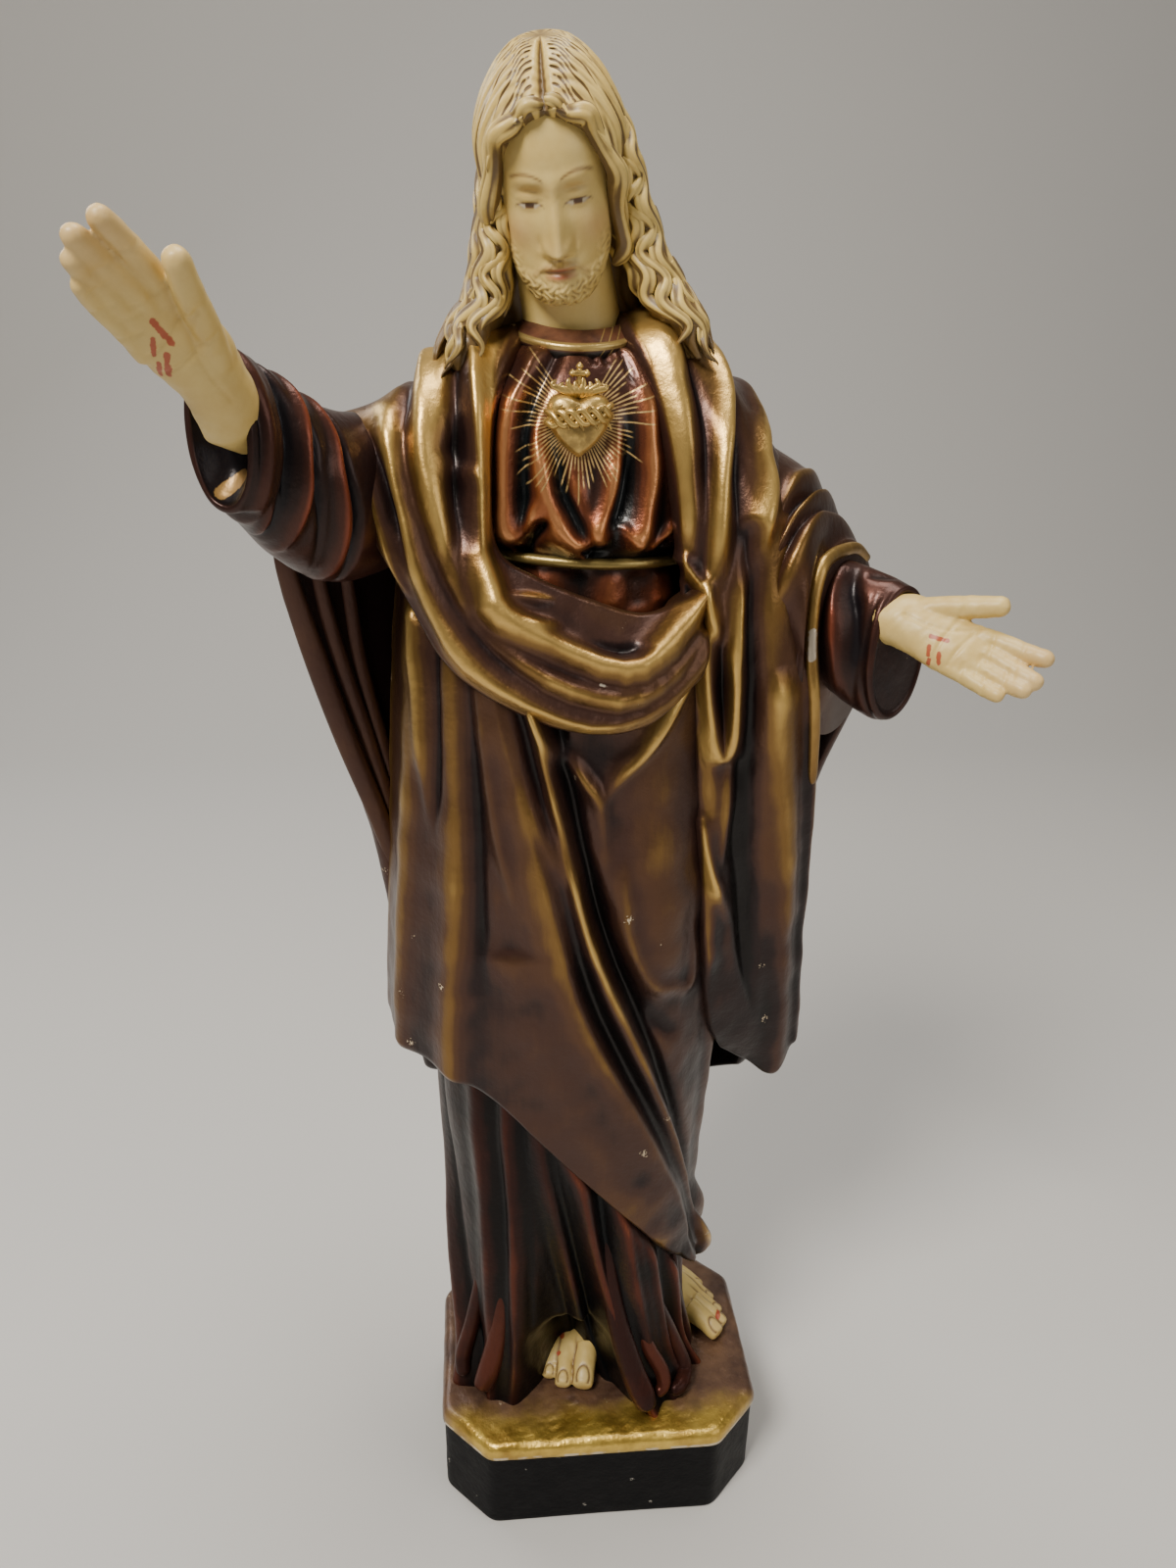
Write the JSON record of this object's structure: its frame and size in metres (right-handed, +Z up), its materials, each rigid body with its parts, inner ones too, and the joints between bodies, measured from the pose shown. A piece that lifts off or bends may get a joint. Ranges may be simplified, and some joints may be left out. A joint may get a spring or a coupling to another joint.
{
  "type": "sacred heart statue",
  "caption": "Standing robed figure with open arms, long hair and a flaming heart in relief on its chest, on a cut-corner plinth, with separate hands seated in the sleeves.",
  "frame": {"origin": "centre of the plinth's underside", "axes": "+Z up to the crown of the head, -Y the way the figure faces, +X to the right of someone who faces it"},
  "size_m": [0.3564, 0.2153, 0.7474],
  "materials": {
    "painted_robe": "satin bronze-brown paint over plaster",
    "painted_skin": "satin cream paint over plaster"
  },
  "bodies": {
    "root": {"statue": "painted_robe", "right_hand": "painted_skin", "left_hand": "painted_skin"}
  },
  "joints": []
}
